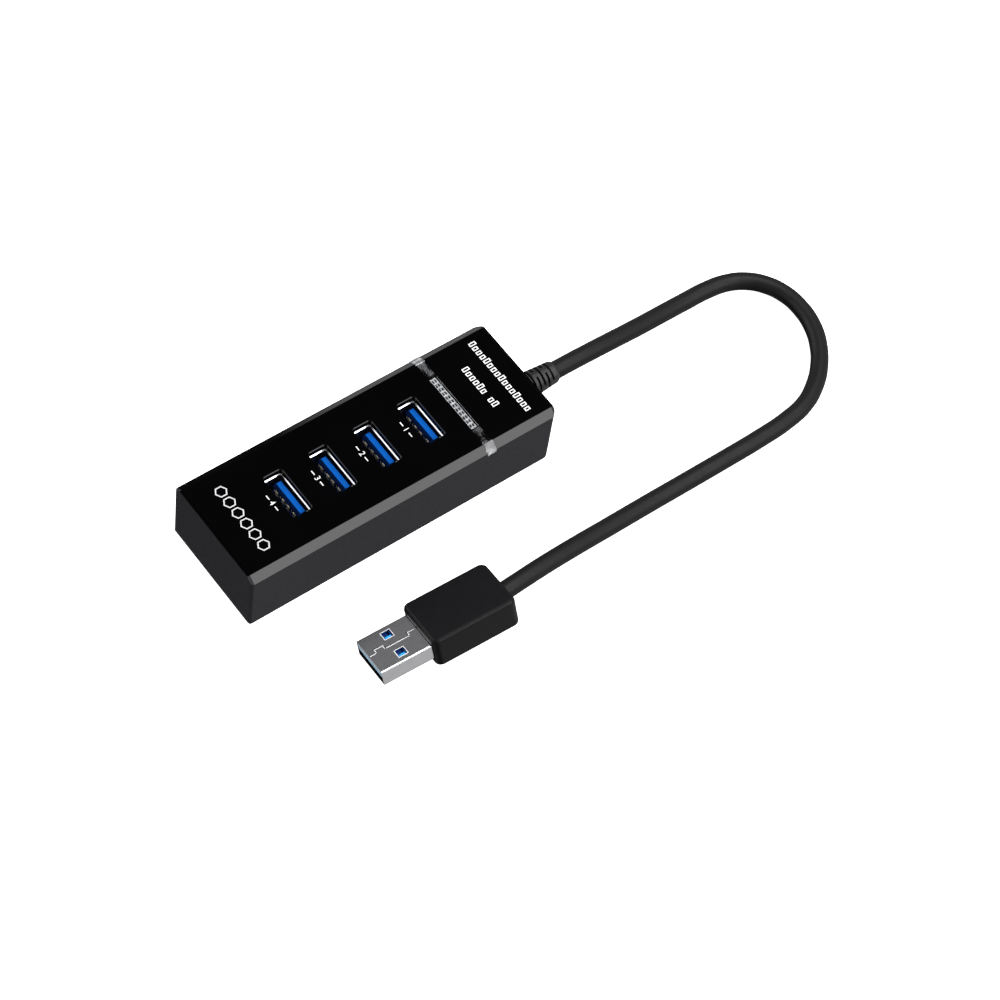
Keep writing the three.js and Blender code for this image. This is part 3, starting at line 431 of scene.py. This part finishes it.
def dress_nodes():
    """Gives each CAD node its material, merges its flat triangles and rounds its edges a little."""
    for name, node in NODES.items():
        node.data.materials.clear()
        node.data.materials.append(SHADES[WORN_INSTEAD.get(name, SLOTS[name])].material)
        node.data.polygons.foreach_set("use_smooth", [True] * len(node.data.polygons))
        node.data.set_sharp_from_angle(angle=SHARP_ANGLE)
        flatten = node.modifiers.new("flatten", "DECIMATE")
        flatten.decimate_type = "DISSOLVE"
        flatten.angle_limit = math.radians(0.5)
        if name in SOFTENED:
            soften = node.modifiers.new("soften", "BEVEL")
            soften.width = SOFTENED[name] * MM
            soften.segments = 2
            soften.limit_method = "ANGLE"
            soften.angle_limit = SHARP_ANGLE
            soften.harden_normals = True


def polish_end_lips():
    """The housing's end walls are polished where they come up level with the cover."""
    mesh = NODES["lower_housing"].data
    mesh.materials.append(SHADES["cover_gloss"].material)
    for face in mesh.polygons:
        if face.normal.z > 0.9 and face.center.z > TOP - LIP_DEPTH:
            face.material_index = 1


dress_nodes()
polish_end_lips()


# ------------------------------------------------------------------ small metal details

def strip_mesh(name, outlines, low, high):
    """Closed slabs over outlines of (x, y), between two heights, all in metres."""
    mesh = bpy.data.meshes.new(name)
    build = bmesh.new()
    for outline in outlines:
        under = [build.verts.new((x, y, low)) for x, y in outline]
        over = [build.verts.new((x, y, high)) for x, y in outline]
        build.faces.new(over)
        build.faces.new(under[::-1])
        for i in range(len(outline)):
            j = (i + 1) % len(outline)
            build.faces.new((under[i], under[j], over[j], over[i]))
    bmesh.ops.recalc_face_normals(build, faces=build.faces)
    build.to_mesh(mesh)
    build.free()
    return mesh


def rectangle(x0, x1, y0, y1):
    return [(x * MM, y * MM) for x, y in ((x0, y0), (x1, y0), (x1, y1), (x0, y1))]


# The plug's details, in millimetres in its own frame.
PLUG_FLAT = 2.25  # the shell's top above its middle
HOLE_BACK = 6.6  # the holes' middles behind the tip
HOLE_SIDE = 3.25  # and to each side of the plug's middle
HOLE_REACH = 1.12  # from a hole's middle to its rim
EDGE_WIDTH = 0.17
EDGE_PROUD = 0.03
EDGE_SUNK = 0.02
SEAM_SHARE = 1.15  # the seam edge's width as a share of the rims'
SEAM_SIDE = 0.1  # from the seam's middle to its edge
SEAM_OPEN = 0.14
SEAM_STEP = 1.1
SEAM_TURNS = (1.75, 4.3, 10.4)  # where the seam steps aside, back, and aside again
SEAM_ENDS = (0.1, 12.6)
LAND_SPAN = (5.82, 7.38)  # along the plug
LAND_OFFSET = (1.05, 0.1)  # from the hole's middle, both to the same side
LAND_HEIGHTS = (1.18, 1.8)
FRONT_SPAN = (0.03, 0.24)
FRONT_HALF_WIDTH = 5.4
FRONT_HEIGHTS = (0.1, 1.85)


def plug_edges():
    """The rolled rims of the two holes, and the sheared edge along the seam."""
    outlines = []
    w = EDGE_WIDTH
    reach = HOLE_REACH
    for side in (-1, 1):
        x, y = HOLE_BACK, side * HOLE_SIDE
        outlines += [
            rectangle(x - reach - w, x + reach + w, y + reach, y + reach + w),
            rectangle(x - reach - w, x + reach + w, y - reach - w, y - reach),
            rectangle(x - reach - w, x - reach, y - reach, y + reach),
            rectangle(x + reach, x + reach + w, y - reach, y + reach),
        ]
    # The seam's nearer edge runs beside its open joint.
    gap, step = SEAM_SIDE, SEAM_STEP
    thin = w * SEAM_SHARE
    aside, back, aside_again = SEAM_TURNS
    start, end = SEAM_ENDS
    runs = ((start, aside, 0), (aside, back, step), (back, aside_again, 0), (aside_again, end, step))
    for x0, x1, y in runs:
        outlines.append(rectangle(x0 + gap, x1 - gap + SEAM_OPEN, y - gap - thin, y - gap))
    for x in (aside, aside_again):
        outlines.append(rectangle(x + gap, x + gap + thin, -gap, step - gap - thin))
    outlines.append(rectangle(back - gap - thin, back - gap, -gap, step - gap - thin))
    low, high = (PLUG_FLAT - EDGE_SUNK) * MM, (PLUG_FLAT + EDGE_PROUD) * MM
    mesh = strip_mesh("plug_edges", outlines, low, high)
    add_piece("plug_edges", mesh, SHADES["edge_metal"], on=PLUG_FRAME)


def plug_lands():
    """The raised land on the insulator inside each hole, and the insulator's front, both in a lighter blue
    that paints the light falling on them.
    """
    far, near = LAND_OFFSET
    outlines = [rectangle(*LAND_SPAN, y - far, y - near) for y in (-HOLE_SIDE, HOLE_SIDE)]
    mesh = strip_mesh("plug_lands", outlines, *(height * MM for height in LAND_HEIGHTS))
    add_piece("plug_lands", mesh, SHADES["land_blue"], on=PLUG_FRAME)
    # The insulator's tongue comes almost to the shell's rim; its front is in a light blue that paints the
    # light falling on it.
    outline = rectangle(*FRONT_SPAN, -FRONT_HALF_WIDTH, FRONT_HALF_WIDTH)
    front = strip_mesh("plug_front", [outline], *(height * MM for height in FRONT_HEIGHTS))
    add_piece("plug_front", front, SHADES["front_blue"], on=PLUG_FRAME)


SHORT_CONTACTS = (-4.6, -2.25, 0, 2.25, 4.6)  # their middles along each port
SHORT_CONTACT_REACH = (2.6, 1.5)  # their ends, below the tongue's tip
SHORT_CONTACT_FACE = 0.19  # their middle plane, from the port's middle
SHORT_CONTACT_HALF = (0.02, 0.2)  # half of their thickness and of their width


def short_contacts():
    """The five short contacts on the same face of each tongue as the long ones."""
    low, high = (TONGUE_END / MM - drop for drop in SHORT_CONTACT_REACH)
    thin, wide = SHORT_CONTACT_HALF
    for port in PORTS:
        face = centre(f"port_{port}_shell").x / MM - SHORT_CONTACT_FACE
        outlines = [rectangle(face - thin, face + thin, y - wide, y + wide) for y in SHORT_CONTACTS]
        mesh = strip_mesh(f"port_{port}_short_contacts", outlines, low * MM, high * MM)
        add_piece(f"port_{port}_short_contacts", mesh, SHADES["contact_gold"])


plug_edges()
plug_lands()
short_contacts()


# ------------------------------------------------------------------ printed markings

# Sizes and places of the marks on the cover, in millimetres unless they say otherwise.
INK_HEIGHT = 0.02 * MM
CORNER_SHARE = 0.22  # of a bar's lesser side, clipped from each corner
NUMBER_ASIDE = 4.5  # from a port's middle, away from the lead
NUMBER_SHIFT = -0.4  # across the cover
NUMBER_SIZE = 2.1
DASH_OFFSET = 1.75
DASH_WIDTH = 0.26
DASH_LENGTH = 1.3
BOX_PITCH = 1.46
BOX_LENGTH = 1.0
BOX_STROKE = 0.27
TALL_BOX = 1.9
LOW_BOX = 1.45
TALL_EVERY = 4
BOX_ROWS = ((37.6, 11, 16, None), (31.9, 5.9, 9, 6))  # place, start, count, and the box left out
HEXAGON_COUNT = 6
HEXAGON_PLACE = (-35.2, 8.4)  # the first one's middle
HEXAGON_PITCH = 3.4
HEXAGON_RADIUS = 1.6
HEXAGON_STROKE = 0.34


def print_shapes(name, shapes, shade):
    """Outlines of (x, y) in metres, raised by the ink's height from the cover's face."""
    return add_piece(name, strip_mesh(name, shapes, TOP, TOP + INK_HEIGHT), shade)


def bar(x, y, width, length):
    """An outline round (x, y): width along X, length along Y, with clipped corners, in millimetres."""
    clip = min(width, length) * CORNER_SHARE
    a, b = width / 2, length / 2
    corners = [
        (-a + clip, -b), (a - clip, -b), (a, -b + clip), (a, b - clip),
        (a - clip, b), (-a + clip, b), (-a, b - clip), (-a, -b + clip),
    ]
    return [((x + u) * MM, (y + v) * MM) for u, v in corners]


def hexagon_outline(x, y, radius, stroke):
    """Six bars round a hexagon, as one list of outlines."""
    sides = []
    for k in range(6):
        a0, a1 = math.radians(60 * k), math.radians(60 * (k + 1))
        ring = [(radius, a0), (radius, a1), (radius - stroke, a1), (radius - stroke, a0)]
        sides.append([((x + r * math.cos(a)) * MM, (y + r * math.sin(a)) * MM) for r, a in ring])
    return sides


def port_numbers():
    for port in PORTS:
        x = centre(f"port_{port}_shell").x / MM - NUMBER_ASIDE
        text = bpy.data.curves.new(f"port_number_{port}", "FONT")
        text.body = str(port)
        text.size = NUMBER_SIZE * MM
        text.align_x = "CENTER"
        text.align_y = "CENTER"
        text.extrude = INK_HEIGHT / 2
        place = Matrix.Translation((x * MM, NUMBER_SHIFT * MM, TOP + INK_HEIGHT / 2))
        maker = bpy.data.objects.new("number_maker", text)
        bpy.context.scene.collection.objects.link(maker)
        mesh = bpy.data.meshes.new_from_object(maker.evaluated_get(bpy.context.evaluated_depsgraph_get()))
        bpy.data.objects.remove(maker)
        mesh.materials.clear()
        turned = place @ Matrix.Rotation(math.radians(-90), 4, "Z")
        add_piece(f"port_number_{port}", mesh, WHITE_INK, on=turned)
        dashes = [bar(x, NUMBER_SHIFT + side * DASH_OFFSET, DASH_WIDTH, DASH_LENGTH) for side in (-1, 1)]
        print_shapes(f"port_dashes_{port}", dashes, WHITE_INK)


def hollow_box(x, y, width, length, stroke):
    """Four bars round a rectangle."""
    a, b = (width - stroke) / 2, (length - stroke) / 2
    return [
        bar(x - a, y, stroke, length), bar(x + a, y, stroke, length),
        bar(x, y - b, width - 2 * stroke, stroke), bar(x, y + b, width - 2 * stroke, stroke),
    ]


def blank_lines():
    """Two rows of plain boxes in place of lettering near the lead."""
    for row, (x, start, count, left_out) in enumerate(BOX_ROWS):
        boxes = []
        for i in range(count):
            if i == left_out:
                continue
            height = LOW_BOX if i % TALL_EVERY else TALL_BOX
            place = x - (TALL_BOX - height) / 2
            boxes += hollow_box(place, start - i * BOX_PITCH, height, BOX_LENGTH, BOX_STROKE)
        print_shapes(f"blank_line_{row + 1}", boxes, WHITE_INK)


def end_pattern():
    """A row of plain hexagons across the end away from the lead."""
    x, start = HEXAGON_PLACE
    shapes = []
    for i in range(HEXAGON_COUNT):
        shapes += hexagon_outline(x, start - i * HEXAGON_PITCH, HEXAGON_RADIUS, HEXAGON_STROKE)
    print_shapes("end_pattern", shapes, SILVER_INK)


port_numbers()
blank_lines()
end_pattern()


# ------------------------------------------------------------------ floor and light

def make_floor():
    mesh = bpy.data.meshes.new("floor")
    reach = 4.0
    corners = [(-reach, -reach, 0), (reach, -reach, 0), (reach, reach, 0), (-reach, reach, 0)]
    mesh.from_pydata(corners, [], [(0, 1, 2, 3)])
    floor = bpy.data.objects.new("floor", mesh)
    bpy.context.scene.collection.objects.link(floor)
    shade = Shade("floor", (0.93, 0.93, 0.93), 0.75).mottle(3, 0.004)
    shade.put("Emission Color", (1, 1, 1, 1)).put("Emission Strength", 1.0)
    mesh.materials.append(shade.material)
    floor.visible_glossy = False
    floor.visible_diffuse = False


def softbox(name, place, aim, size, radiance):
    """A square light of that brightness, facing the aim point."""
    data = bpy.data.lights.new(name, "AREA")
    data.shape = "SQUARE"
    data.size = size
    data.energy = radiance * math.pi * size * size
    light = bpy.data.objects.new(name, data)
    bpy.context.scene.collection.objects.link(light)
    light.location = place
    light.rotation_euler = (Vector(aim) - Vector(place)).to_track_quat("-Z", "Y").to_euler()


class Sky:
    """The studio's walls: a brightness for each direction, added up from a few soft steps."""

    def __init__(self):
        world = bpy.data.worlds.new("studio")
        bpy.context.scene.world = world
        world.use_nodes = True
        self.tree = world.node_tree
        self.direction = self.tree.nodes.new("ShaderNodeTexCoord").outputs["Generated"]
        self.total = None

    def step(self, axis, start, end, before, after):
        """Goes from before to after as the direction's share along axis goes from start to end."""
        dot = self.tree.nodes.new("ShaderNodeVectorMath")
        dot.operation = "DOT_PRODUCT"
        dot.inputs[1].default_value = Vector(axis).normalized()
        self.tree.links.new(self.direction, dot.inputs[0])
        span = self.tree.nodes.new("ShaderNodeMapRange")
        span.interpolation_type = "SMOOTHSTEP"
        for name, value in (("From Min", start), ("From Max", end), ("To Min", before), ("To Max", after)):
            span.inputs[name].default_value = value
        self.tree.links.new(dot.outputs["Value"], span.inputs["Value"])
        return span.outputs["Result"]

    def add(self, *factors):
        product = factors[0]
        for factor in factors[1:]:
            product = math_node(self.tree, "MULTIPLY", product, factor)
        if self.total is None:
            self.total = product
        else:
            self.total = math_node(self.tree, "ADD", self.total, product)

    def card(self, towards, half_angle, brightness):
        """A soft-edged round card in that direction."""
        edge, middle = (math.cos(math.radians(half_angle * k)) for k in (1.15, 0.85))
        self.add(self.step(towards, edge, middle, 0, brightness))

    def finish(self):
        background = self.tree.nodes["Background"]
        background.inputs["Color"].default_value = (1, 1, 1.01, 1)
        self.tree.links.new(self.total, background.inputs["Strength"])


def make_sky():
    sky = Sky()
    up, right = (0, 0, 1), (1, -1, 0)
    below = sky.step(up, -0.06, 0.03, 1, 0)
    sky.add(
        below,
        sky.step(right, -0.405, -0.375, 0.02, 0.88),
        sky.step(right, -0.32, -0.15, 1, 0.12),
    )
    sky.add(below, sky.step(right, 0.42, 0.52, 0, 0.53))
    sky.add(sky.step(up, -0.06, 0.03, 0, 1), sky.step(up, 0, 0.9, 0.62, 0.02))
    sky.card((-0.83, 0.4, 0.4), 12, 1.9)
    sky.card((0.4, -0.83, 0.4), 10, 1.9)
    sky.card((0.397, -0.674, 0.622), 11, 3.9)
    sky.finish()


make_floor()
make_sky()
softbox("key", (0.42, -0.75, 0.72), (0, 0, 0), 0.8, 3.7)
softbox("overhead", (0.45, -0.05, 1.45), (0, 0, 0), 0.8, 10)
softbox("back_fill", (-0.5, 0.85, 0.35), (0, 0, 0), 0.8, 3.5)
bpy.context.scene.view_settings.view_transform = "Standard"
